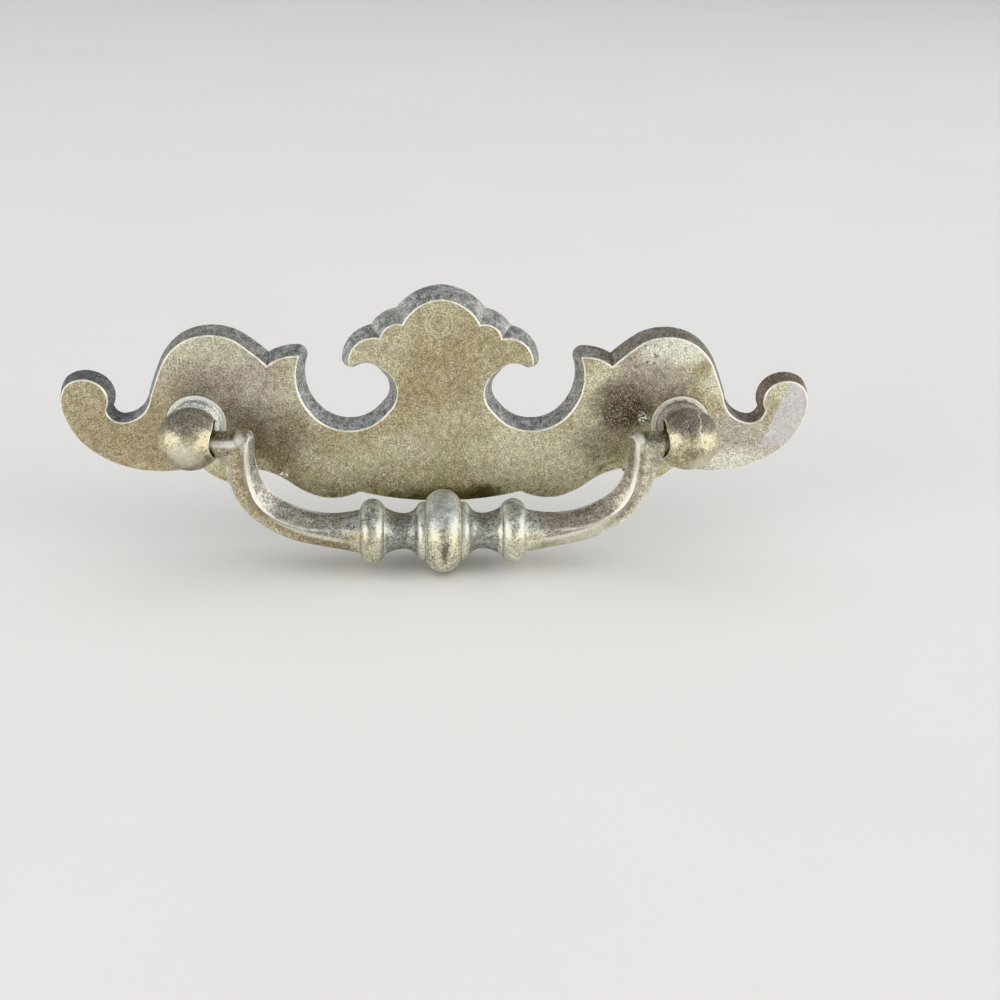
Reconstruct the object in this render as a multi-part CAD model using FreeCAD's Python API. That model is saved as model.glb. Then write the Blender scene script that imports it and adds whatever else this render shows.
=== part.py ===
import FreeCAD, Part
import math
import os

# Bail pull as it is fixed to a drawer front. Sizes in millimetres.
# X runs to the right, Y goes back into the drawer front, Z is up.
# The mounting face of the back plate lies on y = 0, midway between the posts.

# Back plate
PLATE_END = 22.125        # from each post out to the end of the plate
PLATE_HEIGHT = 36.4
PLATE_THICKNESS = 3.2
EDGE_BREAK = 0.22         # worn corner between the front face and the wall
WALL_LEAN = 1.1           # how far the back of the wall stands out past the front edge
CREST_LEAN = 1.75         # the same round the crest
CUT_LEAN = 1.3            # the same inside the two cutouts
END_LEAN = 0.65           # the same round the two ends

# Posts
POST_SPACING = 82.55
AXIS_STANDOFF = 7.2       # from the front face to the middle of the heads
HEAD_RADIUS = 5.2
FLANGE_RADIUS = 5.0
FLANGE_RIM = 0.45
FLANGE_LEDGE = 0.6        # flat ring on the flange round the foot of the neck
NECK_RADIUS = 3.45
SHANK_RADIUS = 3.25
SHANK_LENGTH = 4.8        # stands out behind the plate
SCREW_RADIUS = 1.75       # core of the tapped hole for a machine screw
SCREW_DEPTH = 6.5
SHANK_FIT = 0.03
EYE_RADIUS = 3.2          # blind eye in the inner side of each head
EYE_DEPTH = 5.3
EYE_LIP = 0.6             # wall left round the eye at the hollow of the cheek
CHEEK_RADIUS = 5.5        # hollow of the inner side of each head

# Bail
PIN_RADIUS = 2.25
PIN_LIFT = 0.02           # running gap under the pin where it rests in its eye
PIN_END_GAP = 0.4
BAIL_SLIDE = 0.3          # the loose bail hangs this far to the right of the middle
PIN_BREAK = 0.4           # bevel at both ends of the pin
BAIL_DROP = 16.05         # from the pin down to the middle of the bar
ARM_INSET = 7.6           # from the post to the middle of the arm at its elbow
ARM_WIDTH = 5.0
ARM_STEP = 0.05           # how far the front of the arm lies behind the front of the pin
HOLLOW_DEPTH = 0.32       # hollow beside the ridge, as a share of half the depth of the arm
HOLLOW_STEP = 0.34        # from the ridge to the hollow, as a share of half its width
NOSE_RADIUS = 1.4         # upper corner at the inner end of the pin
BAR_WIDTH = 6.9
BEAD_RADIUS = 5.55        # outer beads
BEAD_CENTRE = 12.05
BEAD_WIDTH = 4.2
KNOP_RADIUS = 7.15        # middle bead
KNOP_WIDTH = 6.0
COLLAR_RADIUS = 5.1
COLLAR_WIDTH = 1.4
COVE_RADIUS = 3.05
COVE_SHIFT = 0.6          # how far the bottom of the cove lies from its middle, towards the knop
SHOULDER_RADIUS = 4.15

POST_X = POST_SPACING / 2
AXIS_Y = -(PLATE_THICKNESS + AXIS_STANDOFF)
PIN_Z = PIN_RADIUS + PIN_LIFT - EYE_RADIUS
BAR_Z = PIN_Z - BAIL_DROP
ARM_X = POST_X - ARM_INSET
ARM_DEPTH = 2 * (PIN_RADIUS - ARM_STEP)
CHEEK_X = math.sqrt(HEAD_RADIUS ** 2 - (EYE_RADIUS + EYE_LIP) ** 2)

# Right half of the front edge of the plate, from the top of the crest to the
# bottom of the belly. Each arc is a middle point, an end point and a lean.
# The points are drawn round a post at DRAWN_POST and get their real place in placed().
DRAWN_POST = (41.275, 0.0)
START = (0.0, 21.7)
ARCS = [
    ((3.9, 20.4), (6.5, 17.4), CREST_LEAN),
    ((8.9, 17.0), (10.2, 15.0), CREST_LEAN),
    ((14.0, 14.1), (15.6, 10.5), WALL_LEAN),
    ((15.4, 10.1), (15.0, 10.05), WALL_LEAN),
    ((12.5, 10.75), (9.7, 9.4), WALL_LEAN),
    ((7.45, 5.6), (9.0, 1.9), CUT_LEAN),
    ((15.4, -1.5), (22.3, 2.0), CUT_LEAN),
    ((24.2, 6.6), (23.75, 11.3), CUT_LEAN),
    ((23.7, 11.75), (24.1, 11.9), WALL_LEAN),
    ((26.6, 11.5), (29.0, 10.2), WALL_LEAN),
    ((31.3, 12.3), (34.0, 14.4), WALL_LEAN),
    ((38.4, 15.4), (42.9, 14.1), WALL_LEAN - 0.2),
    ((45.2, 12.0), (46.7, 9.4), END_LEAN),
    ((47.7, 7.0), (48.6, 4.6), END_LEAN),
    ((50.2, 1.5), (53.3, 0.0), END_LEAN),
    ((55.3, 0.6), (56.1, 2.3), END_LEAN),
    ((55.7, 4.9), (57.6, 7.2), END_LEAN),
    ((60.1, 7.6), (62.3, 6.6), END_LEAN),
    ((63.4, 4.3), (63.2, 1.3), END_LEAN),
    ((61.5, -2.7), (58.3, -5.9), END_LEAN),
    ((54.0, -8.1), (49.0, -9.0), END_LEAN),
    ((45.2, -8.9), (41.4, -8.0), END_LEAN),
    ((39.2, -9.9), (36.0, -11.4), WALL_LEAN),
    ((34.0, -10.4), (32.9, -8.6), WALL_LEAN),
    ((29.4, -9.3), (26.1, -11.2), WALL_LEAN),
    ((23.6, -12.9), (20.8, -14.0), WALL_LEAN),
    ((17.5, -14.1), (14.1, -13.0), WALL_LEAN),
    ((7.3, -14.3), (0.0, -14.7), WALL_LEAN),
]


def vec(x, y, z):
    return FreeCAD.Vector(x, y, z)


def placed(point):
    """A drawn point at its real place: the plate grows with the post spacing."""
    reach = max(mid[0] for mid, end, lean in ARCS)
    fall = min(end[1] for mid, end, lean in ARCS)
    post_x, post_z = DRAWN_POST
    if point[0] > post_x:
        x = POST_X + (point[0] - post_x) * PLATE_END / (reach - post_x)
    else:
        x = point[0] * POST_X / post_x
    return (x, (point[1] - post_z) * PLATE_HEIGHT / (START[1] - fall))


def full_outline():
    """Arcs round the whole plate, clockwise seen from the front."""
    here = placed(START)
    right = []
    for mid, end, lean in ARCS:
        right.append((here, placed(mid), placed(end), lean))
        here = placed(end)
    left = []
    for a, m, b, lean in reversed(right):
        left.append(((-b[0], b[1]), (-m[0], m[1]), (-a[0], a[1]), lean))
    return right + left


def circle_of(a, m, b):
    """Centre and radius of the circle through three points."""
    d = 2 * (a[0] * (m[1] - b[1]) + m[0] * (b[1] - a[1]) + b[0] * (a[1] - m[1]))
    sa = a[0] ** 2 + a[1] ** 2
    sm = m[0] ** 2 + m[1] ** 2
    sb = b[0] ** 2 + b[1] ** 2
    x = (sa * (m[1] - b[1]) + sm * (b[1] - a[1]) + sb * (a[1] - m[1])) / d
    z = (sa * (b[0] - m[0]) + sm * (a[0] - b[0]) + sb * (m[0] - a[0])) / d
    return (x, z), math.hypot(a[0] - x, a[1] - z)


def outward(arc, point):
    """Unit vector away from the metal where the arc passes a point."""
    a, m, b, lean = arc
    centre, radius = circle_of(a, m, b)
    turn = (m[0] - a[0]) * (b[1] - a[1]) - (m[1] - a[1]) * (b[0] - a[0])
    sign = 1 if turn < 0 else -1
    return (sign * (point[0] - centre[0]) / radius, sign * (point[1] - centre[1]) / radius)


def corner(before, after, step_before, step_after):
    """Where two neighbouring arcs meet after each has moved outwards by its step."""
    point = after[0]
    n1 = outward(before, point)
    n2 = outward(after, point)
    cross = n1[0] * n2[1] - n1[1] * n2[0]
    if abs(cross) < 0.25:
        nx = n1[0] + n2[0]
        nz = n1[1] + n2[1]
        k = (step_before + step_after) / 2 / math.hypot(nx, nz)
        return (point[0] + nx * k, point[1] + nz * k)
    dx = (step_before * n2[1] - step_after * n1[1]) / cross
    dz = (n1[0] * step_after - n2[0] * step_before) / cross
    return (point[0] + dx, point[1] + dz)


def moved_outline(steps):
    """The outline with every arc moved outwards by its own step."""
    arcs = full_outline()
    count = len(arcs)
    corners = []
    for i in range(count):
        corners.append(corner(arcs[i - 1], arcs[i], steps[i - 1], steps[i]))
    moved = []
    for i, arc in enumerate(arcs):
        n = outward(arc, arc[1])
        mid = (arc[1][0] + n[0] * steps[i], arc[1][1] + n[1] * steps[i])
        moved.append((corners[i], mid, corners[(i + 1) % count]))
    return moved


def arc_edges(arcs, y):
    edges = []
    for a, m, b in arcs:
        edge = Part.Arc(vec(a[0], y, a[1]), vec(m[0], y, m[1]), vec(b[0], y, b[1]))
        edges.append(edge.toShape())
    return edges


def cylinder_y(x, y, z, radius, length):
    return Part.makeCylinder(radius, length, vec(x, y, z), vec(0, 1, 0))


def cylinder_x(x, y, z, radius, length, side):
    return Part.makeCylinder(radius, length, vec(x, y, z), vec(side, 0, 0))


def back_plate():
    """One casting: flat front, flat back and a wall that leans out to the back."""
    leans = [arc[3] for arc in full_outline()]
    back = arc_edges(moved_outline(leans), 0)
    rim = arc_edges(moved_outline([0] * len(leans)), EDGE_BREAK - PLATE_THICKNESS)
    front = arc_edges(moved_outline([-EDGE_BREAK] * len(leans)), -PLATE_THICKNESS)
    faces = [Part.Face(Part.Wire(back)), Part.Face(Part.Wire(front))]
    for lower, upper in ((back, rim), (rim, front)):
        for one, other in zip(lower, upper):
            faces.append(Part.makeRuledSurface(one, other))
    shell = Part.makeShell(faces)
    shell.sewShape()
    plate = Part.Solid(shell)
    if plate.Volume < 0:
        plate.reverse()
    for side in (-1, 1):
        hole = cylinder_y(side * POST_X, -2 * PLATE_THICKNESS, 0, SHANK_RADIUS + SHANK_FIT,
                          3 * PLATE_THICKNESS)
        plate = plate.cut(hole)
    return plate.Solids[0]


def post(side):
    """Turned post: tapped shank, flange, flared neck and ball head with a blind eye."""
    face = -PLATE_THICKNESS
    rim = face - FLANGE_RIM
    join = AXIS_Y + math.sqrt(HEAD_RADIUS ** 2 - NECK_RADIUS ** 2)
    foot = FLANGE_RADIUS - FLANGE_LEDGE
    flare = vec(NECK_RADIUS + 0.25 * (foot - NECK_RADIUS), (rim + join) / 2, 0)
    profile = Part.Wire([
        Part.makeLine(vec(0, SHANK_LENGTH, 0), vec(SHANK_RADIUS, SHANK_LENGTH, 0)),
        Part.makeLine(vec(SHANK_RADIUS, SHANK_LENGTH, 0), vec(SHANK_RADIUS, face, 0)),
        Part.makeLine(vec(SHANK_RADIUS, face, 0), vec(FLANGE_RADIUS, face, 0)),
        Part.makeLine(vec(FLANGE_RADIUS, face, 0), vec(FLANGE_RADIUS, rim, 0)),
        Part.makeLine(vec(FLANGE_RADIUS, rim, 0), vec(foot, rim, 0)),
        Part.Arc(vec(foot, rim, 0), flare, vec(NECK_RADIUS, join, 0)).toShape(),
        Part.Arc(vec(NECK_RADIUS, join, 0), vec(HEAD_RADIUS, AXIS_Y, 0),
                 vec(0, AXIS_Y - HEAD_RADIUS, 0)).toShape(),
        Part.makeLine(vec(0, AXIS_Y - HEAD_RADIUS, 0), vec(0, SHANK_LENGTH, 0)),
    ])
    body = Part.Face(profile).revolve(vec(0, 0, 0), vec(0, 1, 0), 360)
    inner = -side
    cheek = cylinder_y(inner * (CHEEK_X + CHEEK_RADIUS), AXIS_Y - HEAD_RADIUS, 0, CHEEK_RADIUS,
                       join - AXIS_Y + HEAD_RADIUS)
    eye = cylinder_x(inner * HEAD_RADIUS, AXIS_Y, 0, EYE_RADIUS,
                     HEAD_RADIUS - CHEEK_X + EYE_DEPTH, -inner)
    screw_hole = cylinder_y(0, SHANK_LENGTH - SCREW_DEPTH, 0, SCREW_RADIUS, SCREW_DEPTH)
    body = body.cut(cheek).cut(eye).cut(screw_hole)
    body.translate(vec(side * POST_X, 0, 0))
    return body.Solids[0]


def arm_stations():
    """Middle line of the right arm from the bar up to the elbow, with its sizes.

    Each station gives how far along and how far up it is, how far its width and its
    depth have gone from the size of the bar to that of the arm, how sharp the ridge
    is and how hollow the face beside it is, all as shares. The last number is where
    the ridge runs: -1 at the inner side of the arm, 0 in its middle, 1 at the outer.
    """
    foot = BEAD_CENTRE + BEAD_WIDTH / 2
    table = [
        (-0.04, 0.0, -0.5, -0.4, 0.0, 0.0, 0.15),
        (0.07, 0.0, 0.0, 0.0, 0.0, 0.0, 0.15),
        (0.28, 0.02, 0.58, 0.52, 0.2, 1.0, 0.15),
        (0.50, 0.083, 0.80, 0.75, 0.6, 1.0, 0.15),
        (0.71, 0.21, 0.96, 0.89, 0.9, 1.0, 0.1),
        (0.875, 0.385, 1.03, 0.98, 1.0, 1.0, -0.05),
        (0.965, 0.6, 1.0, 1.0, 1.0, 1.0, -0.28),
        (1.0, 0.81, 1.0, 1.0, 1.0, 0.7, -0.48),
        (1.012, 1.0, 0.73, 1.0, 1.0, 0.06, -0.6),
    ]
    stations = []
    for along, up, slim, flat, ridge, hollow, crown in table:
        width = BAR_WIDTH + (ARM_WIDTH - BAR_WIDTH) * slim
        depth = BAR_WIDTH + (ARM_DEPTH - BAR_WIDTH) * flat
        x = foot + (ARM_X - foot) * along
        stations.append((x, BAR_Z + BAIL_DROP * up, (width, depth, ridge, hollow, crown)))
    return stations


def arm_section(x, z, tangent, form):
    """Closed wire square to the arm: rounded back, and a ridge with a hollow beside it."""
    width, depth, ridge, hollow, crown = form
    out = (tangent[1], -tangent[0])
    a = width / 2
    b = depth / 2

    def place(round_point, ridged_point):
        u = (round_point[0] * (1 - ridge) + ridged_point[0] * ridge) * a
        v = (round_point[1] * (1 - ridge) + ridged_point[1] * ridge) * b
        return vec(x + out[0] * u, AXIS_Y - v, z + out[1] * u)

    inner = place((-1, 0), (-1, -0.2))
    halfway = (crown - 1) / 2
    bevel = place((-0.88, 0.48), (halfway - 0.09, 0.44))
    top = place((-0.5, 0.866), (crown, 0.99))
    valley = place((0.05, 0.999), (crown + HOLLOW_STEP, 1 - HOLLOW_DEPTH * hollow))
    roll = place((0.72, 0.694), (0.68, 0.80))
    outer = place((1, 0), (1, 0.05))
    low_out = place((0.75, -0.661), (0.75, -0.58))
    back = place((0, -1), (0, -1))
    low_in = place((-0.75, -0.661), (-0.7, -0.68))
    face = Part.BSplineCurve()
    face.interpolate([top, valley, roll, outer])
    return Part.Wire([
        Part.Arc(inner, bevel, top).toShape(),
        face.toShape(),
        Part.Arc(outer, low_out, back).toShape(),
        Part.Arc(back, low_in, inner).toShape(),
    ])


def arm():
    """Right arm of the bail, from inside the outer bead up to the middle of the pin."""
    stations = arm_stations()
    line = Part.BSplineCurve()
    line.interpolate([vec(s[0], 0, s[1]) for s in stations])
    wires = []
    last = len(stations) - 1
    for i, (x, z, form) in enumerate(stations):
        t = line.tangent(line.parameter(vec(x, 0, z)))[0]
        tangent = (t.x, t.z)
        if i == 0:
            tangent = (1, 0)
        if i == last:
            tangent = (0, 1)
        wires.append(arm_section(x, z, tangent, form))
    return Part.makeLoft(wires, True, False)


def turned(x, radius):
    """A point of the profile of the beads: along the bar, and out from its middle."""
    return vec(x, AXIS_Y, BAR_Z + radius)


def level_arc(x, radius, end_x, end_radius):
    """Arc of the profile of the beads that starts level and bends to its end."""
    run = end_x - x
    rise = end_radius - radius
    bend = (run ** 2 + rise ** 2) / (2 * abs(rise))
    half_turn = math.atan2(abs(run), bend - abs(rise)) / 2
    mid_x = x + math.copysign(bend * math.sin(half_turn), run)
    mid_radius = radius + math.copysign(bend * (1 - math.cos(half_turn)), rise)
    return Part.Arc(turned(x, radius), turned(mid_x, mid_radius), turned(end_x, end_radius)).toShape()


def beads():
    """Turned-looking middle of the bail: outer beads, coves, collars and the knop."""
    knop_edge = KNOP_WIDTH / 2
    collar_edge = knop_edge + COLLAR_WIDTH
    bead_in = BEAD_CENTRE - BEAD_WIDTH / 2
    bead_out = BEAD_CENTRE + BEAD_WIDTH / 2
    cove_x = (collar_edge + bead_in) / 2 - COVE_SHIFT
    foot = BAR_WIDTH / 2
    knop_foot = COLLAR_RADIUS + 0.12
    collar_in = COLLAR_RADIUS - 0.1
    collar_out = COLLAR_RADIUS - 0.7

    def half(sign):
        return [
            level_arc(0, KNOP_RADIUS, sign * knop_edge, knop_foot),
            Part.makeLine(turned(sign * knop_edge, knop_foot), turned(sign * knop_edge, collar_in)),
            Part.Arc(turned(sign * knop_edge, collar_in),
                     turned(sign * (knop_edge + 0.66 * COLLAR_WIDTH), COLLAR_RADIUS - 0.2),
                     turned(sign * collar_edge, collar_out)).toShape(),
            level_arc(sign * cove_x, COVE_RADIUS, sign * collar_edge, collar_out),
            level_arc(sign * cove_x, COVE_RADIUS, sign * bead_in, SHOULDER_RADIUS),
            level_arc(sign * BEAD_CENTRE, BEAD_RADIUS, sign * bead_in, SHOULDER_RADIUS),
            level_arc(sign * BEAD_CENTRE, BEAD_RADIUS, sign * bead_out, foot),
            Part.makeLine(turned(sign * bead_out, foot), turned(sign * bead_out, 0)),
        ]

    axis = Part.makeLine(turned(-bead_out, 0), turned(bead_out, 0))
    profile = Part.Wire(Part.__sortEdges__(half(1) + half(-1) + [axis]))
    return Part.Face(profile).revolve(vec(0, AXIS_Y, BAR_Z), vec(1, 0, 0), 360)


def elbow():
    """Top of the arm, carried up into the round of the pin, with a rounded nose."""
    x, z, form = arm_stations()[-1]
    width, depth = form[:2]
    column = Part.Face(arm_section(x, z, (0, 1), form))
    column = column.extrude(vec(0, 0, 2 * PIN_RADIUS))
    tip = x - width / 2
    top = PIN_Z + PIN_RADIUS
    nose = Part.makeBox(NOSE_RADIUS, depth * 2, NOSE_RADIUS,
                        vec(tip, AXIS_Y - depth, top - NOSE_RADIUS))
    nose = nose.cut(cylinder_y(tip + NOSE_RADIUS, AXIS_Y - depth, top - NOSE_RADIUS,
                               NOSE_RADIUS, depth * 2))
    round_top = cylinder_x(tip, AXIS_Y, PIN_Z, PIN_RADIUS, width, 1)
    return column.common(round_top).cut(nose)


def pin():
    """Right pin of the bail, from behind the ridge of the arm into the blind eye."""
    start = ARM_X - 0.2 * ARM_WIDTH
    end = POST_X - CHEEK_X + EYE_DEPTH - PIN_END_GAP
    body = cylinder_x(start, AXIS_Y, PIN_Z, PIN_RADIUS, end - start, 1)
    rims = [edge for edge in body.Edges if edge.isClosed()]
    return body.makeChamfer(PIN_BREAK, rims)


def bail():
    """One casting: pins, arms and the beaded bar."""
    right = arm().fuse(elbow()).fuse(pin())
    left = right.mirror(vec(0, 0, 0), vec(1, 0, 0))
    body = beads().fuse(right).fuse(left).removeSplitter()
    body.translate(vec(BAIL_SLIDE, 0, 0))
    return body.Solids[0]


os.makedirs("parts", exist_ok=True)
back_plate().exportStep("parts/backplate.step")
post(-1).exportStep("parts/post_left.step")
post(1).exportStep("parts/post_right.step")
bail().exportStep("parts/bail.step")
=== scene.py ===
import math

import bpy
from mathutils import Matrix, Vector


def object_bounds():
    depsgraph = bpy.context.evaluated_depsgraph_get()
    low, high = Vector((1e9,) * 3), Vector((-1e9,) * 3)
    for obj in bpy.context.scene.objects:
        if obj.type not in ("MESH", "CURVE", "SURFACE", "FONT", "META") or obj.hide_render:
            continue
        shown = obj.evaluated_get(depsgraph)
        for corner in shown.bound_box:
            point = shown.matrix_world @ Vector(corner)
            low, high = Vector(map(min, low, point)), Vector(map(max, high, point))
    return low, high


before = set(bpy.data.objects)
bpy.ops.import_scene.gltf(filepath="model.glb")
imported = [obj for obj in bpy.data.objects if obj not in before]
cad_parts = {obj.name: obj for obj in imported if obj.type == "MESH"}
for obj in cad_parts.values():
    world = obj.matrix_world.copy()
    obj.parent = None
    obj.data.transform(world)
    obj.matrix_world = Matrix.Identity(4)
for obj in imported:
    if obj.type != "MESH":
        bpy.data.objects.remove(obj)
cad_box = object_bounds()

# Millimetres of the object's own frame, as it hangs on a drawer front.
MM = 0.001
POST_X = 41.275           # the posts' middles, left and right
AXIS_Y = -10.4            # the axis of the pins, before the back of the plate
BALL_BACK = 3.6           # from the axis to where a ball has become its neck
BAR_Z = -16.98            # the axis of the bar, below the axis of the pins
KNOP_HALF = 3.0           # half the width of the middle bead
COVE_END = 10.0           # where the coves beside the middle bead end
BEADS_END = COVE_END + 5.0
RIM_RADIUS = 4.9          # the rounds of the beads that keep pale polish
PIN_START = POST_X - 7.4  # where the elbow has become the pin
BAIL_SLIDE = 0.3          # how far the bail hangs to the right
ARM_X = 33.675            # the middle line of each arm at its top
ELBOW_X = 33.1            # the painted highlight on each elbow

# The middle line of each arm is a quarter of a swollen oval about this middle.
ARM_OVAL = (14.15, -0.93)
ARM_REACH = (19.75, 16.05)
ARM_SWELL = 2.4
ARM_MERGE = (0.6, 4.5)    # past the middle of the oval, where the bar becomes an arm

# The flange of each post: a dark line from the first to the last of the inner radii, fading at
# both its ends, and a painted highlight ring from the outer radii on.
FLANGE_GAP = (3.95, 4.15, 4.25, 4.45)
FLANGE_HIGHLIGHT = (4.45, 4.65)

# The photograph's camera, found from its outline.
CAMERA_PLACE = (-4.14038, -210.42074, 82.27595)
CAMERA_YAW = -4.033436
CAMERA_PITCH = 25.0
CAMERA_ROLL = -1.4967886
CAMERA_LENS = 46.8
CAMERA_SENSOR = 36.0
CAMERA_CLIP = (0.005, 20.0)     # metres

FLOOR_GAP = 0.3                 # below the lowest point of the bail
FLOOR_SIZE = 5000.0

# Rays for each use of the two nodes that feel their way round the surface.
AIR_SAMPLES = 5
BEVEL_SAMPLES = 4

# Linear colours
OLIVE = (0.440, 0.400, 0.250)
PALE = (0.620, 0.605, 0.450)
ROSE = (0.385, 0.295, 0.235)
MAUVE = (0.470, 0.430, 0.420)
UMBER = (0.130, 0.102, 0.080)
STEEL = (0.450, 0.480, 0.480)
SLATE = (0.165, 0.175, 0.170)
GOLD = (0.545, 0.518, 0.385)
STRAW = (0.720, 0.705, 0.570)
LILAC = (0.640, 0.620, 0.630)
CREAM = (0.790, 0.775, 0.635)
CHALK = (0.880, 0.870, 0.800)
TAN = (0.405, 0.340, 0.220)
BARK = (0.215, 0.175, 0.140)
FROST = (0.640, 0.680, 0.665)
# Near black, for painted shade in crevices and painted shadow on the face.
PAINTED_SHADE = (0.022, 0.018, 0.013)
FLOOR_DARK = (0.70, 0.695, 0.685)
FLOOR_LIGHT = (0.73, 0.725, 0.715)
WARM = (1.0, 0.985, 0.95)
NEUTRAL = (1.0, 1.0, 1.0)

# Patches of the front view. Each tells its middle in x and z, the radius inside which it is
# whole, the radius outside which it has gone, how far its border wanders, how wide each wander
# is (2 where nothing is told) and how tall the patch is for its width (1 where nothing is told).
TAN_NECK = (0.0, 10.0, 3.0, 13.0, 6.0, 4.0, 1.4)
TAN_CURL = (-54.0, -2.0, 6.0, 15.0, 5.0, 4.0)
ROSY_LEFT = (-35.0, 6.0, 5.0, 13.0, 8.0, 5.0)
ROSY_LOBE = (36.0, 8.0, 5.0, 9.0, 5.0, 3.5, 0.7)
ROSY_END = (52.0, -2.5, 2.0, 9.0, 5.0, 4.0)
DARK_LEFT_POST = (-40.0, 5.0, 2.5, 8.5, 5.0, 2.5)
# Painted shadow beside each arm.
ARM_SHADOW_LEFT = (-28.0, -2.5, 2.0, 9.0, 5.0, 2.5)
ARM_SHADOW_RIGHT = (27.0, -4.0, 1.0, 6.0, 4.0)
DARK_RIGHT_POST = (31.0, 3.0, 2.5, 7.4, 4.0, 2.5)
# Pale and chalky patches: rubbed pale, and on the right side also painted light from that side.
CHALKY_LEFT = (-37.0, 13.4, 3.0, 10.0, 3.0, 3.0, 0.5)
CHALKY_LOBE = (39.5, 13.4, 3.0, 9.0, 3.0, 3.0, 0.42)
CHALKY_SIDE = (47.0, 7.0, 1.0, 4.0, 2.0)
CHALKY_END = (52.0, -7.5, 3.0, 9.0, 3.0, 3.0, 0.4)
PALE_BELLY = (19.0, -7.0, 7.0, 17.0, 7.0, 6.0, 0.5)
PALE_MIDDLE = (-6.0, -8.0, 6.0, 14.0, 7.0, 6.0, 0.5)
PALE_SHOULDER = (27.0, 7.5, 1.5, 5.0, 3.0, 2.5)
PALE_STRIP = (30.5, -8.2, 1.0, 5.0, 2.0, 2.0, 0.4)
PALE_CURL = (58.5, 7.0, 1.0, 5.0, 2.0, 2.0)
DUSTY_LEFT = (-42.0, 6.5, 2.0, 7.0, 5.0, 2.5)
DUSTY_RIGHT = (31.0, 1.0, 1.5, 7.0, 5.0, 2.5)
PITTED_LOBE = (34.5, 12.2, 2.0, 6.5, 4.0, 2.5, 0.5)
PITTED_BELLY = (27.5, -9.0, 2.0, 6.0, 4.0, 2.5)
# Painted shadow along the lower edge of the belly, behind the middle bead.
SHADOW_BAND = (1.5, -14.8, 6.0, 15.0, 4.0, 2.0, 0.22)
SHADOW_CORNER = (8.0, -13.2, 1.0, 5.0, 2.5, 1.5, 0.5)
CRUMBS_LEFT = (-27.1, -9.6, 0.5, 1.0, 0.8, 0.6, 0.6)
CRUMBS_BELLY = (-9.2, -15.0, 0.3, 0.9, 0.8, 0.6, 0.6)
CRUMBS_RIGHT = (34.9, 0.9, 0.6, 1.5, 1.2, 0.8)
SMEAR_LEFT = (-POST_X, -3.7, 0.5, 1.3, 1.4, 1.0)
SMEAR_RIGHT = (POST_X + 0.2, -0.8, 0.6, 2.0, 2.6, 1.4)
# Painted highlights on the balls of the posts.
BALL_HIGHLIGHT_LEFT = (-POST_X - 0.2, -1.0, 1.2, 3.4, 1.8, 0.9)
BALL_HIGHLIGHT_RIGHT = (POST_X + 1.6, -3.0, 0.8, 2.4, 1.6, 0.9)
RUBBED_ARM = (24.0, -16.5, 3.0, 9.0, 3.0, 2.0, 0.45)
KNOP_STREAK = (0.5, BAR_Z - 0.6, 0.15, 0.85, 1.3, 1.2, 4.2)
# Painted highlights on the elbows.
ELBOW_HIGHLIGHT_LEFT = (-ELBOW_X, 0.5, 0.3, 1.3, 0.5, 0.8)
ELBOW_HIGHLIGHT_RIGHT = (ELBOW_X, 0.5, 0.3, 1.1, 0.5, 0.8)

# The round rub marks on the crest: their middle in x and z.
RINGS_MIDDLE = (-0.4, 17.6)

# The painted reflection on the right curl ends at a line through this point (x, z), square to
# this direction, and fades out between these heights.
REFLECTION_POINT = (58.3, 3.0)
REFLECTION_ACROSS = (0.94, -0.33)
REFLECTION_LOW = (-6.5, -2.5)

# Soft boxes that look at the middle of the object. Each tells its name, its azimuth (0 in front,
# 90 to the right) and elevation in degrees, its distance, width and height in metres, its power
# in watts, its colour, and whether it shows in reflections.
LIGHTS = (
    ("side_left", -58.0, 10.0, 2.0, 1.5, 1.3, 27.5, WARM, True),
    ("side_right", 70.0, 12.0, 2.0, 1.5, 1.3, 34.0, WARM, True),
    ("front_right", 32.0, 6.0, 2.0, 0.8, 0.5, 3.2, WARM, True),
    ("ceiling", 0.0, 89.0, 2.2, 6.0, 6.0, 93.0, NEUTRAL, False),
)

# The studio round the floor. Each is a height, from 0 at the horizon to 1 overhead, and the
# colour there.
STUDIO_LOW = (0.30, (0.43, 0.43, 0.435, 1.0))
STUDIO_HIGH = (0.85, (0.100, 0.102, 0.108, 1.0))


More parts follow.
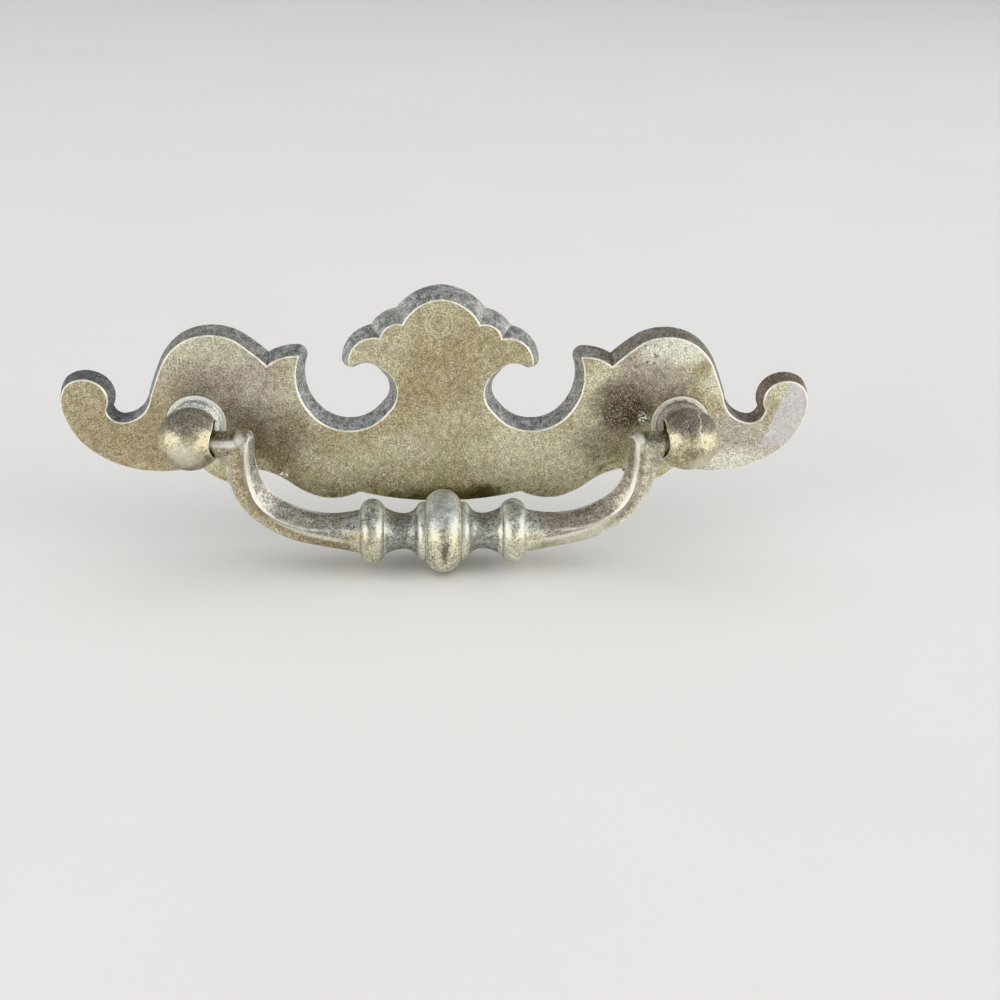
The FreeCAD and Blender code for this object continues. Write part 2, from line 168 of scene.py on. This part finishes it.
class Graph:
    """Adds nodes to one material. Lengths are in millimetres of the object's frame."""

    def __init__(self, name):
        self.material = bpy.data.materials.new(name)
        self.material.use_nodes = True
        self.tree = self.material.node_tree
        self.shader = self.tree.nodes["Principled BSDF"]
        coordinates = self.tree.nodes.new("ShaderNodeTexCoord")
        metres = coordinates.outputs["Object"]
        self.place = self.vector("SCALE", metres, scale=1 / MM)
        self.x, self.y, self.z = self.split(self.place)
        self.nx, self.ny, self.nz = self.split(coordinates.outputs["Normal"])
        self.faced = self.tree.nodes.new("ShaderNodeNewGeometry").outputs["Normal"]

    def put(self, socket, value):
        if isinstance(value, bpy.types.NodeSocket):
            self.tree.links.new(value, socket)
        else:
            socket.default_value = value

    def split(self, vector):
        node = self.tree.nodes.new("ShaderNodeSeparateXYZ")
        self.put(node.inputs[0], vector)
        return node.outputs

    def joined(self, x, y, z):
        node = self.tree.nodes.new("ShaderNodeCombineXYZ")
        for socket, value in zip(node.inputs, (x, y, z)):
            self.put(socket, value)
        return node.outputs[0]

    def math(self, operation, first, second=0.0):
        node = self.tree.nodes.new("ShaderNodeMath")
        node.operation = operation
        self.put(node.inputs[0], first)
        self.put(node.inputs[1], second)
        return node.outputs[0]

    def add(self, first, second):
        return self.math("ADD", first, second)

    def less(self, first, second):
        return self.math("SUBTRACT", first, second)

    def times(self, first, *others):
        for other in others:
            first = self.math("MULTIPLY", first, other)
        return first

    def most(self, first, *others):
        for other in others:
            first = self.math("MAXIMUM", first, other)
        return first

    def size_of(self, value):
        return self.math("ABSOLUTE", value)

    def without(self, share):
        """What a share leaves of the whole."""
        return self.less(1.0, share)

    def vector(self, operation, first, second=None, scale=None):
        node = self.tree.nodes.new("ShaderNodeVectorMath")
        node.operation = operation
        self.put(node.inputs[0], first)
        if second is not None:
            self.put(node.inputs[1], second)
        if scale is not None:
            self.put(node.inputs["Scale"], scale)
        return node.outputs["Value"] if operation in ("LENGTH", "DOT_PRODUCT") else node.outputs[0]

    def length(self, x, y, z):
        return self.vector("LENGTH", self.joined(x, y, z))

    def fade(self, value, start, end, low=0.0, high=1.0):
        """Goes smoothly from low to high while value goes from start to end."""
        node = self.tree.nodes.new("ShaderNodeMapRange")
        node.interpolation_type = "SMOOTHSTEP"
        self.put(node.inputs["Value"], value)
        for name, number in (("From Min", start), ("From Max", end), ("To Min", low), ("To Max", high)):
            self.put(node.inputs[name], number)
        return node.outputs[0]

    def noise(self, size, detail=3.0, rough=0.55, where=None, offset=0.0):
        """Noise whose patches are about this many millimetres across."""
        node = self.tree.nodes.new("ShaderNodeTexNoise")
        place = self.place if where is None else where
        if offset:
            place = self.vector("ADD", place, (offset, offset * 0.7, -offset))
        self.put(node.inputs["Vector"], place)
        self.put(node.inputs["Scale"], 1 / size)
        self.put(node.inputs["Detail"], detail)
        self.put(node.inputs["Roughness"], rough)
        return node.outputs[0]

    def stray(self, value, size, amount, offset=0.0):
        """Makes the border of a value wander by up to about half the amount each way."""
        wander = self.less(self.noise(size, detail=4.0, rough=0.6, offset=offset), 0.5)
        return self.add(value, self.times(wander, amount))

    def away_from(self, x, z, tall=1.0):
        """Distance in the front view, where heights count for less in a tall patch."""
        flat = self.vector("MULTIPLY", self.vector("SUBTRACT", self.place, (x, 0.0, z)),
                           (1.0, 0.0, 1.0 / tall))
        return self.vector("LENGTH", flat)

    def spot(self, x, z, inner, outer, wobble, size=2.0, tall=1.0):
        """1 inside a patch of the front view, fading to 0 outside it, with an uneven border."""
        away = self.stray(self.away_from(x, z, tall), size, wobble, offset=x)
        return self.fade(away, outer, inner)

    def spots(self, *patches):
        """1 inside any of these patches."""
        return self.most(*[self.spot(*patch) for patch in patches])

    def mix(self, share, first, second):
        node = self.tree.nodes.new("ShaderNodeMix")
        node.data_type = "RGBA"
        self.put(node.inputs["Factor"], share)
        for socket, colour in ((node.inputs[6], first), (node.inputs[7], second)):
            self.put(socket, (*colour, 1.0) if isinstance(colour, tuple) else colour)
        return node.outputs[2]

    def paint(self, under, over, *shares):
        """Lays one colour over another, as thick as the product of the shares."""
        return self.mix(self.times(*shares), under, over)

    def lit(self, colour, factor):
        """The colour made lighter or darker."""
        return self.vector("SCALE", colour, scale=factor)

    def open_air(self, reach):
        """1 in the open and less where other faces are near."""
        node = self.tree.nodes.new("ShaderNodeAmbientOcclusion")
        node.samples = AIR_SAMPLES
        self.put(node.inputs["Distance"], reach * MM)
        return node.outputs["AO"]

    def rounded(self, radius):
        node = self.tree.nodes.new("ShaderNodeBevel")
        node.samples = BEVEL_SAMPLES
        self.put(node.inputs["Radius"], radius * MM)
        return node.outputs[0]

    def edge_wear_and_highlight(self, radius, start, end):
        """1 where a sharp edge within this radius turns the surface by more than a little."""
        agree = self.vector("DOT_PRODUCT", self.rounded(radius), self.faced)
        return self.fade(self.without(agree), start, end)

    def bump(self, height, depth, normal=None):
        """Depth is the height in millimetres of a step from 0 to 1."""
        node = self.tree.nodes.new("ShaderNodeBump")
        self.put(node.inputs["Distance"], depth * MM)
        self.put(node.inputs["Height"], height)
        if normal is not None:
            self.put(node.inputs["Normal"], normal)
        return node.outputs[0]

    def finish(self, colour, roughness, metal, normal):
        self.put(self.shader.inputs["Base Color"], colour)
        self.put(self.shader.inputs["Roughness"], roughness)
        self.put(self.shader.inputs["Metallic"], metal)
        self.put(self.shader.inputs["Normal"], normal)
        return self.material


def patchy_gloss(graph, size, offset, low, high):
    """Roughness that goes from low to high in patches of this size."""
    return graph.fade(graph.noise(size, detail=4.0, rough=0.7, offset=offset), 0.30, 0.70, low, high)


def hairlines(graph, slope, length, width, offset):
    """Thin scratches that run along one slope of the front view, here and there."""
    along = graph.add(graph.x, graph.times(graph.z, slope))
    across = graph.less(graph.z, graph.times(graph.x, slope))
    where = graph.joined(graph.times(along, 1 / length), graph.y, graph.times(across, 1 / width))
    level = graph.size_of(graph.less(graph.noise(1.0, detail=1.0, where=where, offset=offset), 0.5))
    chosen = graph.fade(graph.noise(4.0, offset=offset + 3.0), 0.50, 0.60)
    return graph.times(graph.fade(level, 0.030, 0.008), chosen)


def grained(graph, colour, amount, flecks=0.8):
    """Fine uneven grain of old cast brass, with small dark pits and white flecks."""
    fine = graph.noise(0.30, detail=3.0, rough=0.75, offset=5.0)
    coarse = graph.noise(1.0, detail=5.0, rough=0.66, offset=9.0)
    factor = graph.times(graph.fade(fine, 0.30, 0.70, 1 - 0.42 * amount, 1 + 0.46 * amount),
                         graph.fade(coarse, 0.32, 0.68, 1 - 0.17 * amount, 1 + 0.19 * amount))
    colour = graph.lit(colour, factor)
    dark = graph.fade(graph.noise(0.42, detail=3.0, rough=0.65, offset=17.0), 0.345, 0.290)
    light = graph.fade(graph.noise(0.26, detail=2.0, rough=0.60, offset=29.0), 0.635, 0.690)
    colour = graph.paint(colour, UMBER, dark, 0.65 * amount)
    return graph.paint(colour, CHALK, light, flecks)


def cast_relief(graph, strength):
    """Slow waves, grain and small pits of the cast surface, over softened edges, and scratches."""
    normal = graph.rounded(0.20)
    normal = graph.bump(graph.noise(6.5, detail=2.0), 0.32 * strength, normal)
    grain = graph.noise(1.0, detail=4.0, rough=0.65, offset=9.0)
    normal = graph.bump(grain, 0.045 * strength, normal)
    pits = graph.noise(0.32, detail=3.0, rough=0.75, offset=5.0)
    normal = graph.bump(pits, 0.016 * strength, normal)
    scratches = graph.most(hairlines(graph, 0.35, 9.0, 0.30, 51.0),
                           hairlines(graph, -1.6, 7.0, 0.40, 67.0))
    return graph.bump(scratches, -0.012, normal), scratches


def oxide(graph, offset):
    """Grey tarnish, mottled and streaked, that fills coves and covers walls."""
    patches = graph.fade(graph.noise(1.5, detail=5.0, rough=0.72, offset=offset), 0.36, 0.66)
    speckle = graph.fade(graph.noise(0.35, detail=3.0, rough=0.7, offset=offset + 4.0), 0.42, 0.70)
    colour = graph.mix(patches, SLATE, STEEL)
    return graph.paint(colour, STEEL, speckle, 0.45)


def face_colour(graph):
    """The front face: olive and pale patches, rosy, tan and dark zones, painted light on the right and
    painted shadow behind the arms.
    """
    broad = graph.fade(graph.noise(9.0, detail=4.0, rough=0.55), 0.40, 0.62)
    middle = graph.fade(graph.noise(3.4, detail=5.0, rough=0.62, offset=11.0), 0.40, 0.64)
    colour = graph.paint(OLIVE, PALE, broad, 0.75)
    colour = graph.paint(colour, ROSE, middle, 0.42)
    colour = graph.paint(colour, TAN, graph.spots(TAN_NECK, TAN_CURL), 0.90)
    rosy = graph.spots(ROSY_LEFT, ROSY_END, ROSY_LOBE)
    colour = graph.paint(colour, MAUVE, rosy, 0.50)
    # Rubbed pale patches, on the right also painted light.
    pale, chalky = pale_zones(graph)
    colour = graph.paint(colour, PALE, pale, 0.85)
    colour = graph.paint(colour, CHALK, chalky, 0.52)
    # Darker beside the posts, and painted shadow behind the arms.
    return graph.paint(colour, UMBER, dark_zones_and_arm_shadows(graph), 0.90)


def pale_zones(graph):
    """Where the face is rubbed pale, on the right side also as painted light from that side, and the
    parts of that which are palest.
    """
    chalky = graph.most(graph.spots(CHALKY_LOBE, CHALKY_END),
                        graph.times(graph.spot(*CHALKY_SIDE), 0.5),
                        graph.times(graph.spot(*CHALKY_LEFT), 0.3))
    pale = graph.most(graph.times(graph.spot(*PALE_BELLY), 0.75),
                      graph.times(graph.spot(*PALE_MIDDLE), 0.35),
                      graph.spots(PALE_STRIP, PALE_CURL, PALE_SHOULDER))
    return graph.most(pale, chalky), chalky


def dark_zones_and_arm_shadows(graph):
    """Darker colour beside the posts, and painted shadow behind the arms."""
    return graph.most(graph.spot(*DARK_RIGHT_POST),
                      graph.times(graph.spots(ARM_SHADOW_LEFT, ARM_SHADOW_RIGHT), 0.60),
                      graph.times(graph.spot(*DARK_LEFT_POST), 0.20))


def dust(graph):
    """Light dust and small dark pits that lie on parts of the face."""
    light = graph.fade(graph.noise(0.32, detail=2.0, rough=0.6, offset=97.0), 0.600, 0.655)
    pits = graph.fade(graph.noise(0.75, detail=3.0, rough=0.6, offset=91.0), 0.43, 0.38)
    return (graph.times(light, graph.spots(DUSTY_RIGHT, DUSTY_LEFT)),
            graph.times(pits, graph.spots(PITTED_LOBE, PITTED_BELLY)))


def ring_marks(graph):
    """Faint round rub marks on the crest."""
    away = graph.stray(graph.away_from(*RINGS_MIDDLE), 1.5, 0.6)
    rings = graph.fade(graph.math("SINE", graph.times(away, 9.0)), 0.3, 0.9)
    return graph.times(rings, graph.fade(away, 3.0, 2.2), graph.fade(away, 0.9, 1.4))


def painted_reflection_end(graph):
    """Painted grey-lavender reflection on the outer half of the right curl, with a sharp border."""
    line = graph.add(graph.times(graph.less(graph.x, REFLECTION_POINT[0]), REFLECTION_ACROSS[0]),
                     graph.times(graph.less(graph.z, REFLECTION_POINT[1]), REFLECTION_ACROSS[1]))
    line = graph.stray(line, 2.0, 1.2, offset=71.0)
    return graph.times(graph.fade(line, -0.15, 0.25), graph.fade(graph.z, *REFLECTION_LOW))


def wall_colour(graph):
    """The wall round the plate, grey on the crest and darker at the ends, and its back."""
    side = graph.stray(graph.x, 5.0, 9.0)
    brown = graph.most(graph.fade(side, 14.0, 30.0, 0.12, 0.70),
                       graph.fade(side, -18.0, -40.0, 0.12, 0.40))
    ends = graph.fade(graph.size_of(side), 50.0, 57.0)
    dark_tone = graph.mix(graph.fade(side, -50.0, -42.0), SLATE, BARK)
    wall = graph.mix(graph.most(brown, ends), oxide(graph, 7.0), dark_tone)
    bare = graph.noise(2.4, detail=5.0, rough=0.7, offset=37.0)
    wall = graph.paint(wall, TAN, graph.fade(bare, 0.54, 0.70), 0.5)
    back = graph.fade(graph.ny, 0.5, 0.8)
    dull_brass = graph.times(back, graph.fade(bare, 0.30, 0.60, 0.55, 0.90))
    return grained(graph, graph.mix(dull_brass, wall, OLIVE), 1.15, flecks=0.7)


def dusty_face(graph):
    """The front face with its grain, its dust and pits and the painted reflection on its right end."""
    colour = grained(graph, face_colour(graph), 1.2)
    light, pits = dust(graph)
    colour = graph.paint(colour, CHALK, light, 0.60)
    colour = graph.paint(colour, UMBER, pits, 0.65)
    # Painted reflection on the right curl.
    reflection = grained(graph, LILAC, 0.45, flecks=0.35)
    return graph.paint(colour, reflection, painted_reflection_end(graph), 0.85)


def rim_wear_and_highlight(graph, facing):
    """1 where the rounded rim of the front face is worn bright and carries a painted highlight."""
    edge = graph.times(graph.fade(facing, 0.50, 0.64), graph.fade(facing, 0.95, 0.82))
    uneven = graph.noise(1.6, detail=4.0, rough=0.65, offset=23.0)
    return graph.times(edge, graph.fade(uneven, 0.28, 0.58, 0.35, 0.80))


def plate_finish():
    graph = Graph("plate_brass")
    facing = graph.times(graph.ny, -1.0)
    front = graph.fade(facing, 0.50, 0.72)
    colour = graph.mix(front, wall_colour(graph), dusty_face(graph))
    # The rim is worn bright and carries a painted highlight.
    wear_and_highlight = rim_wear_and_highlight(graph, facing)
    colour = graph.mix(wear_and_highlight, colour, CHALK)
    relief, scratches = cast_relief(graph, 1.0)
    marks = graph.most(graph.times(scratches, 0.7), ring_marks(graph))
    colour = graph.paint(colour, STRAW, marks, front, 0.55)
    crumbs = graph.times(residue(graph), front)
    colour = graph.mix(crumbs, colour, CHALK)
    # Painted shadow along the belly's lower edge.
    colour = graph.paint(colour, PAINTED_SHADE, painted_shadow(graph), graph.fade(facing, -0.4, 0.2), 0.80)
    # Painted shade where other faces are near.
    colour = graph.mix(graph.fade(graph.open_air(1.6), 0.70, 0.25), colour, PAINTED_SHADE)
    roughness = graph.add(patchy_gloss(graph, 0.9, 41.0, 0.38, 0.56),
                          graph.fade(front, 1.0, 0.0, 0.0, 0.08))
    metal = graph.fade(front, 0.0, 1.0, 0.55, 0.90)
    metal = graph.times(metal, graph.without(graph.most(graph.times(wear_and_highlight, 0.75), crumbs)))
    return graph.finish(colour, roughness, metal, relief)


def painted_shadow(graph):
    """Painted shadow along the lower edge of the belly, behind the middle bead and its coves."""
    return graph.most(graph.times(graph.spot(*SHADOW_BAND), 0.70),
                      graph.times(graph.spot(*SHADOW_CORNER), 0.75))


def residue(graph):
    """Crumbs of dried polish in three places."""
    crumbs = graph.fade(graph.noise(0.45, detail=2.0, rough=0.6, offset=83.0), 0.50, 0.54)
    return graph.times(crumbs, graph.spots(CRUMBS_LEFT, CRUMBS_RIGHT, CRUMBS_BELLY))


def brass_colour(graph):
    """The handled brass of posts and bail: gold and straw with olive patches."""
    broad = graph.fade(graph.noise(5.0, detail=4.0, rough=0.65), 0.38, 0.62)
    middle = graph.fade(graph.noise(1.7, detail=5.0, rough=0.7, offset=11.0), 0.42, 0.66)
    colour = graph.paint(GOLD, STRAW, broad, 0.6)
    return graph.paint(colour, TAN, middle, 0.36)


def flange_rings(graph):
    """The painted highlight on the outer ring of each flange, and the dark line inside it."""
    side = graph.less(graph.size_of(graph.x), POST_X)
    away = graph.stray(graph.length(side, 0.0, graph.z), 1.2, 0.25)
    opens, opened, closes, closed = FLANGE_GAP
    gap = graph.times(graph.fade(away, opens, opened), graph.fade(away, closed, closes))
    return graph.fade(away, *FLANGE_HIGHLIGHT), gap


def post_tarnish(graph, left):
    """The tarnish of neck and cap, on the cap also painted shade, the share of each place that it
    covers, and the neck alone.
    """
    neck = graph.fade(graph.y, AXIS_Y + BALL_BACK, AXIS_Y + BALL_BACK + 1.0)
    before_plate = graph.fade(graph.y, 0.5, -0.5, 0.35, 1.0)
    neck = graph.times(neck, before_plate)
    # Darker cap on top of each ball: tarnish and painted shade.
    cap = graph.fade(graph.stray(graph.nz, 2.2, 0.7), 0.36, 0.62)
    pale_flange = graph.mix(0.8, oxide(graph, 13.0), FROST)
    flange = graph.paint(pale_flange, BARK, graph.without(left), 0.65)
    tarnish = graph.mix(neck, graph.mix(0.45, SLATE, BARK), flange)
    return tarnish, graph.most(graph.times(cap, 0.84), graph.times(neck, 0.92)), neck


def ball_marks(graph, colour, neck):
    """Dark smears, painted highlights and the pale crack on the balls of the posts."""
    smear = graph.less(graph.spots(SMEAR_RIGHT, SMEAR_LEFT), neck)
    colour = graph.paint(colour, UMBER, smear, 0.40)
    # Painted highlights on the balls.
    ball_highlight = graph.spots(BALL_HIGHLIGHT_RIGHT, BALL_HIGHLIGHT_LEFT)
    colour = graph.paint(colour, STRAW, graph.less(ball_highlight, neck), 0.70)
    crack = graph.less(graph.stray(graph.x, 1.6, 2.4, offset=7.0), POST_X + 1.3)
    crack = graph.times(graph.fade(graph.size_of(crack), 0.22, 0.05), graph.fade(graph.z, 0.6, 1.6))
    return graph.paint(colour, STRAW, graph.less(crack, neck), 0.6)


def post_finish():
    graph = Graph("post_brass")
    left = graph.fade(graph.x, 1.0, -1.0)
    low = graph.times(graph.fade(graph.stray(graph.nz, 2.6, 0.5), 0.05, -0.55), left)
    colour = graph.mix(0.55, brass_colour(graph), TAN)
    colour = graph.paint(colour, BARK, low, 0.58)
    tarnish, cover, neck = post_tarnish(graph, left)
    colour = grained(graph, graph.mix(cover, colour, tarnish), 1.3, flecks=0.35)
    ring_highlight, gap = flange_rings(graph)
    # Painted highlight ring on each flange.
    colour = graph.paint(colour, CHALK, ring_highlight, neck, 0.75)
    colour = graph.paint(colour, UMBER, gap, neck, 0.50)
    colour = ball_marks(graph, colour, neck)
    uneven = graph.fade(graph.noise(1.2, offset=3.0), 0.30, 0.50)
    # Edges worn bright with a painted highlight.
    wear_and_highlight = graph.times(graph.edge_wear_and_highlight(0.45, 0.015, 0.07), uneven)
    colour = graph.paint(colour, CHALK, wear_and_highlight, 0.9)
    # Painted shade where other faces are near.
    colour = graph.mix(graph.fade(graph.open_air(1.3), 0.72, 0.30), colour, PAINTED_SHADE)
    relief, scratches = cast_relief(graph, 0.9)
    relief = graph.bump(graph.noise(2.2, detail=3.0, rough=0.6, offset=59.0), 0.16, relief)
    colour = graph.paint(colour, STRAW, scratches, 0.4)
    roughness = graph.add(patchy_gloss(graph, 0.8, 43.0, 0.38, 0.62), graph.times(cover, 0.10))
    metal = graph.less(0.97, graph.times(cover, 0.40))
    return graph.finish(colour, roughness, metal, relief)


def arm_course(graph):
    """Where a point of the bail lies across its arm, in millimetres outward from the ridge."""
    side = graph.size_of(graph.less(graph.x, BAIL_SLIDE))
    out = graph.most(graph.less(side, ARM_OVAL[0]), 0.001)
    down = graph.most(graph.less(ARM_OVAL[1], graph.z), 0.001)
    level = graph.add(graph.math("POWER", graph.times(out, 1 / ARM_REACH[0]), ARM_SWELL),
                      graph.math("POWER", graph.times(down, 1 / ARM_REACH[1]), ARM_SWELL))
    level = graph.math("POWER", level, 1 / ARM_SWELL)
    span = graph.length(out, 0.0, down)
    across = graph.times(span, graph.without(graph.math("DIVIDE", 1.0, level)))
    ridge = graph.fade(graph.z, -15.5, -1.0, 0.40, -1.60)
    on_arm = graph.fade(side, ARM_OVAL[0] + ARM_MERGE[0], ARM_OVAL[0] + ARM_MERGE[1])
    return graph.less(across, ridge), on_arm


def from_bar(graph):
    """Distance from the axis of the bar."""
    return graph.length(0.0, graph.less(graph.y, AXIS_Y), graph.less(graph.z, BAR_Z))


def bail_cover(graph, course, on_arm):
    """Share of grey tarnish: inner side of the arms, tops of the bar, coves and pins; on the inner
    sides and tops it is also painted shade.
    """
    # Tops of the bar and beads and inner side of the arms: tarnish and painted shade.
    inner = graph.fade(graph.stray(graph.nz, 2.6, 0.6), 0.20, 0.60)
    behind_ridge = graph.fade(graph.stray(course, 1.2, 0.5, offset=2.0), 0.05, -0.45)
    inner = graph.add(graph.times(inner, graph.without(on_arm)), graph.times(behind_ridge, on_arm))
    side = graph.size_of(graph.x)
    deep = graph.fade(graph.stray(from_bar(graph), 1.6, 0.8), 4.7, 4.2)
    cove = graph.times(deep, graph.fade(side, COVE_END, COVE_END - 0.6),
                       graph.fade(side, KNOP_HALF - 0.1, KNOP_HALF + 0.3))
    pin = graph.fade(graph.stray(side, 2.0, 1.0), PIN_START, PIN_START + 1.2)
    inner = graph.times(inner, graph.without(pin))
    cover = graph.most(graph.times(graph.most(inner, cove), 0.88), graph.times(pin, 0.42))
    return cover, cove, pin


def bail_colour(graph, cover, cove, on_arm):
    """Brass and tarnish of the bail, browner on its left and straw below as polish and painted
    highlight, with pale bead rims.
    """
    brown = graph.times(graph.fade(graph.x, -5.0, -18.0), 0.80)
    colour = graph.mix(brown, brass_colour(graph), TAN)
    browner = graph.fade(graph.x, -1.0, 1.0, 0.40, 0.80)
    tarnish = graph.paint(oxide(graph, 19.0), BARK, on_arm, browner)
    tarnish = graph.paint(tarnish, SLATE, cove, 0.58)
    turned = graph.fade(graph.size_of(graph.x), BEADS_END + 1.0, BEADS_END)
    # Paler on the lower side of the beads: polish and painted highlight.
    low = graph.times(graph.fade(graph.nz, 0.25, -0.35), turned)
    colour = graph.paint(colour, STRAW, low, 0.45)
    colour = grained(graph, graph.mix(cover, colour, tarnish), 1.4, flecks=0.40)
    off_rim = graph.size_of(graph.less(graph.stray(from_bar(graph), 1.4, 1.0), RIM_RADIUS))
    uneven = graph.fade(graph.noise(1.1, detail=4.0, rough=0.7, offset=61.0), 0.38, 0.58)
    rim = graph.times(graph.fade(off_rim, 0.70, 0.20), turned, uneven)
    return graph.paint(colour, FROST, rim, 0.62)


def arm_marks(graph, colour, course, on_arm, front, cover):
    """The dark hollow, a rubbed patch, and the painted highlights on the outer roll and along the ridge
    of the arms.
    """
    groove = graph.times(graph.fade(course, 0.15, 0.60), graph.fade(course, 1.70, 0.95), on_arm)
    groove = graph.times(groove, graph.fade(graph.x, -1.0, 1.0, 0.40, 0.58),
                         graph.fade(graph.z, -16.0, -12.5, 0.45, 1.0))
    colour = graph.mix(groove, colour, BARK)
    # Painted highlight on the outer roll of the arms.
    roll_highlight = graph.times(graph.fade(graph.stray(course, 1.5, 0.4), 1.7, 2.4),
                       graph.fade(graph.x, -1.0, 1.0, 0.05, 0.95))
    colour = graph.paint(colour, CREAM, roll_highlight, on_arm)
    rubbed = graph.times(graph.spot(*RUBBED_ARM), front, graph.without(cover))
    colour = graph.paint(colour, STRAW, rubbed, 0.60)
    # Painted highlight along the ridge of the arms.
    line = graph.fade(graph.size_of(course), 0.60, 0.15)
    return graph.paint(colour, CHALK, line, on_arm, 0.55)


def bail_wear_and_highlights(graph, air, front):
    """1 where the bail's edges are worn bright with a painted highlight, and painted highlights on its
    elbows and along the left pin.
    """
    uneven = graph.fade(graph.noise(1.8, detail=4.0, offset=3.0), 0.32, 0.52, 0.5, 1.0)
    wear_and_highlight = graph.times(graph.edge_wear_and_highlight(0.8, 0.008, 0.05), graph.fade(air, 0.70, 0.90), uneven)
    # Painted highlight along the left pin.
    level = graph.stray(graph.z, 1.5, 0.5, offset=31.0)
    pin_highlight = graph.times(graph.fade(level, -0.95, -0.35), graph.fade(level, 0.75, 0.20),
                        graph.fade(graph.x, 0.5 - ARM_X, -0.5 - ARM_X), front)
    return graph.most(wear_and_highlight, graph.times(pin_highlight, 0.85), graph.spots(ELBOW_HIGHLIGHT_RIGHT, ELBOW_HIGHLIGHT_LEFT))


def bail_finish():
    graph = Graph("bail_brass")
    course, on_arm = arm_course(graph)
    cover, cove, pin = bail_cover(graph, course, on_arm)
    colour = bail_colour(graph, cover, cove, on_arm)
    front = graph.fade(graph.times(graph.ny, -1.0), 0.0, 0.35)
    arm_front = graph.times(on_arm, front, graph.without(pin))
    colour = arm_marks(graph, colour, course, arm_front, front, cover)
    streak = graph.spot(*KNOP_STREAK)
    colour = graph.paint(colour, UMBER, streak, 0.80)
    on_knop = graph.fade(graph.size_of(graph.x), KNOP_HALF + 0.3, KNOP_HALF - 0.1)
    top = graph.times(on_knop, graph.fade(graph.nz, 0.2, 0.6))
    colour = graph.paint(colour, FROST, top, 0.35)
    air = graph.open_air(1.5)
    # Edge wear with painted highlights, and painted highlights on elbows and pin.
    wear_and_highlight = bail_wear_and_highlights(graph, air, front)
    colour = graph.paint(colour, CHALK, wear_and_highlight, 0.90)
    # Painted shade where other faces are near.
    colour = graph.mix(graph.fade(air, 0.72, 0.32), colour, PAINTED_SHADE)
    relief, scratches = cast_relief(graph, 0.9)
    relief = graph.bump(graph.noise(0.7, detail=3.0, rough=0.7, offset=63.0), 0.045, relief)
    relief = graph.bump(streak, -0.08, relief)
    colour = graph.paint(colour, STRAW, scratches, 0.4)
    roughness = graph.add(patchy_gloss(graph, 0.8, 47.0, 0.26, 0.50), graph.times(cover, 0.10))
    metal = graph.less(0.97, graph.most(graph.times(cover, 0.38), graph.times(wear_and_highlight, 0.40)))
    return graph.finish(colour, roughness, metal, relief)


def floor_finish():
    graph = Graph("pale_floor")
    tone = graph.noise(90.0, detail=3.0)
    colour = graph.mix(tone, FLOOR_DARK, FLOOR_LIGHT)
    normal = graph.bump(graph.noise(1.5, detail=3.0), 0.02)
    roughness = graph.fade(tone, 0.0, 1.0, 0.7, 0.85)
    graph.put(graph.shader.inputs["Specular IOR Level"], 0.1)
    return graph.finish(colour, roughness, 0.0, normal)


def dress(node, material):
    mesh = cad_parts[node].data
    mesh.materials.clear()
    mesh.materials.append(material)


def make_floor():
    low = cad_box[0].z - FLOOR_GAP * MM
    half = FLOOR_SIZE * MM / 2
    mesh = bpy.data.meshes.new("floor")
    corners = [(-half, -half, low), (half, -half, low), (half, half, low), (-half, half, low)]
    mesh.from_pydata(corners, [], [(0, 1, 2, 3)])
    mesh.materials.append(floor_finish())
    floor = bpy.data.objects.new("floor", mesh)
    bpy.context.scene.collection.objects.link(floor)


def make_camera():
    data = bpy.data.cameras.new("camera")
    data.lens = CAMERA_LENS
    data.sensor_width = CAMERA_SENSOR
    data.clip_start, data.clip_end = CAMERA_CLIP
    camera = bpy.data.objects.new("camera", data)
    bpy.context.scene.collection.objects.link(camera)
    turn = (Matrix.Rotation(math.radians(CAMERA_YAW), 4, "Z")
            @ Matrix.Rotation(math.radians(-CAMERA_PITCH), 4, "X")
            @ Matrix.Rotation(math.radians(CAMERA_ROLL), 4, "Y")
            @ Matrix.Rotation(math.radians(90), 4, "X"))
    camera.matrix_world = Matrix.Translation(Vector(CAMERA_PLACE) * MM) @ turn
    bpy.context.scene.camera = camera


def soft_box(name, azimuth, elevation, distance, width, height, power, colour, glossy):
    data = bpy.data.lights.new(name, "AREA")
    data.shape = "ELLIPSE"
    data.size = width
    data.size_y = height
    data.energy = power
    data.color = colour
    light = bpy.data.objects.new(name, data)
    bpy.context.scene.collection.objects.link(light)
    a = math.radians(azimuth)
    e = math.radians(elevation)
    away = Vector((math.sin(a) * math.cos(e), -math.cos(a) * math.cos(e), math.sin(e)))
    light.location = away * distance
    light.rotation_mode = "QUATERNION"
    light.rotation_quaternion = (-away).to_track_quat("-Z", "Y")
    light.visible_glossy = glossy


def make_world():
    """A studio that is mid grey at the horizon and dark overhead."""
    world = bpy.data.worlds.new("studio")
    world.use_nodes = True
    bpy.context.scene.world = world
    tree = world.node_tree
    background = tree.nodes["Background"]
    direction = tree.nodes.new("ShaderNodeTexCoord")
    split = tree.nodes.new("ShaderNodeSeparateXYZ")
    tree.links.new(direction.outputs["Generated"], split.inputs[0])
    ramp = tree.nodes.new("ShaderNodeValToRGB")
    tree.links.new(split.outputs["Z"], ramp.inputs[0])
    ramp.color_ramp.interpolation = "EASE"
    for stop, (height, colour) in zip(ramp.color_ramp.elements, (STUDIO_LOW, STUDIO_HIGH)):
        stop.position = height
        stop.color = colour
    tree.links.new(ramp.outputs[0], background.inputs["Color"])


dress("backplate", plate_finish())
posts = post_finish()
dress("post_left", posts)
dress("post_right", posts)
dress("bail", bail_finish())
make_floor()
make_camera()
for light in LIGHTS:
    soft_box(*light)
make_world()
bpy.context.scene.view_settings.view_transform = "Khronos PBR Neutral"
